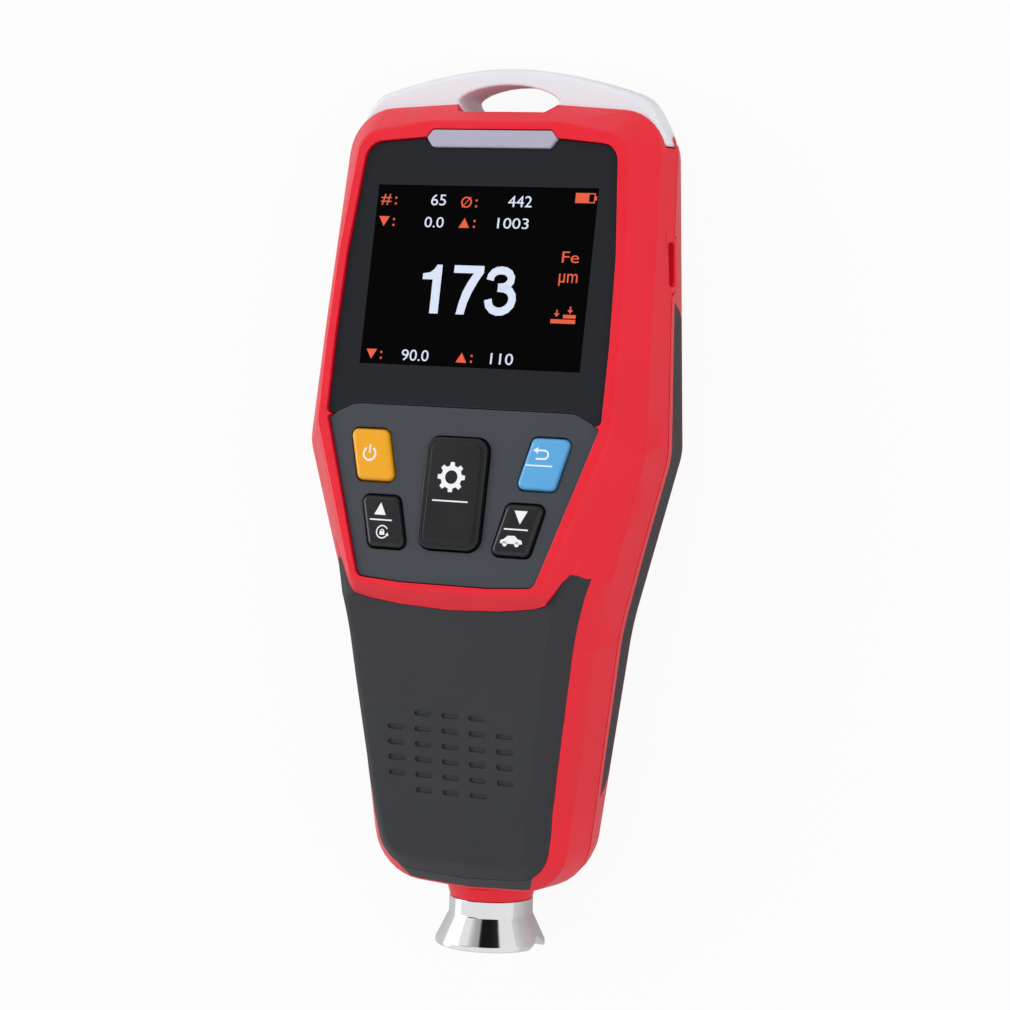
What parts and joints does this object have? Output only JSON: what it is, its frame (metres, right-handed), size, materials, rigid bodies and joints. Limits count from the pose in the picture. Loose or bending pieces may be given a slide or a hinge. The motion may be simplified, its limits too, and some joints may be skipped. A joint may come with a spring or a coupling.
{
  "type": "coating thickness gauge",
  "caption": "Hand-held coating thickness gauge with a tilted display head, press keys, ribbed soft grip, carrying bow and a sprung measuring probe at its lower end.",
  "frame": {"origin": "middle of the flat back, at the level of the table", "axes": "+Z out of the front, +Y from the probe to the carrying bow, +X to the user's right"},
  "size_m": [0.0644, 0.1512, 0.0323],
  "materials": {
    "red_shell": "satin",
    "soft_grip": "matte",
    "window": "gloss",
    "slate_panel": "matte",
    "light_pipe": "satin",
    "silver_bow": "satin metallic paint",
    "yellow_key": "satin",
    "blue_key": "satin",
    "black_key": "satin",
    "inner_metal": "bright",
    "board": "satin",
    "inner_plastic": "matte",
    "cell": "satin",
    "polished_sleeve": "polished",
    "probe_steel": "polished",
    "copper_wire": "enamelled"
  },
  "bodies": {
    "case": {"front_shell": "red_shell", "rear_shell": "red_shell", "probe_collar": "red_shell", "front_grip": "soft_grip", "side_grip_left": "soft_grip", "side_grip_right": "soft_grip", "display_window": "window", "keypad_panel": "slate_panel", "light_bar": "light_pipe", "top_handle": "silver_bow", "key_switches": "inner_metal", "board_screws": "inner_metal", "usb_socket": "inner_metal", "battery_springs": "inner_metal", "battery_contacts": "inner_metal", "probe_spring": "inner_metal", "case_screws": "inner_metal", "main_board": "board", "indicator_leds": "board", "lcd_module": "inner_plastic", "buzzer": "inner_plastic", "probe_guide": "inner_plastic", "battery_cell_1": "cell", "battery_cell_2": "cell", "probe_sleeve": "polished_sleeve"},
    "power_key": {"power_key": "yellow_key"},
    "clear_key": {"clear_key": "blue_key"},
    "cal_key": {"cal_key": "black_key"},
    "up_key": {"up_key": "black_key"},
    "down_key": {"down_key": "black_key"},
    "probe": {"probe_tip": "probe_steel", "probe_coil": "copper_wire"},
    "battery_cover": {"battery_cover": "red_shell"}
  },
  "joints": [
    {"name": "power_press", "type": "slide", "parent": "case", "child": "power_key", "axis": [0, -0.1736, -0.9848], "range_m": [0, 0.0006], "stiffness_N_per_m": 500, "springref_m": -0.0004},
    {"name": "clear_press", "type": "slide", "parent": "case", "child": "clear_key", "axis": [0, -0.1736, -0.9848], "range_m": [0, 0.0006], "stiffness_N_per_m": 500, "springref_m": -0.0004},
    {"name": "cal_press", "type": "slide", "parent": "case", "child": "cal_key", "axis": [0, -0.1736, -0.9848], "range_m": [0, 0.0006], "stiffness_N_per_m": 500, "springref_m": -0.0004},
    {"name": "up_press", "type": "slide", "parent": "case", "child": "up_key", "axis": [0, -0.1736, -0.9848], "range_m": [0, 0.0006], "stiffness_N_per_m": 500, "springref_m": -0.0004},
    {"name": "down_press", "type": "slide", "parent": "case", "child": "down_key", "axis": [0, -0.1736, -0.9848], "range_m": [0, 0.0006], "stiffness_N_per_m": 500, "springref_m": -0.0004},
    {"name": "probe_press", "type": "slide", "parent": "case", "child": "probe", "axis": [0, 1, 0], "range_m": [0, 0.002], "stiffness_N_per_m": 400, "springref_m": -0.001, "deforming": ["probe_spring"]},
    {"name": "cover_slide", "type": "slide", "parent": "case", "child": "battery_cover", "axis": [0, -1, 0], "range_m": [0, 0.006]}
  ]
}
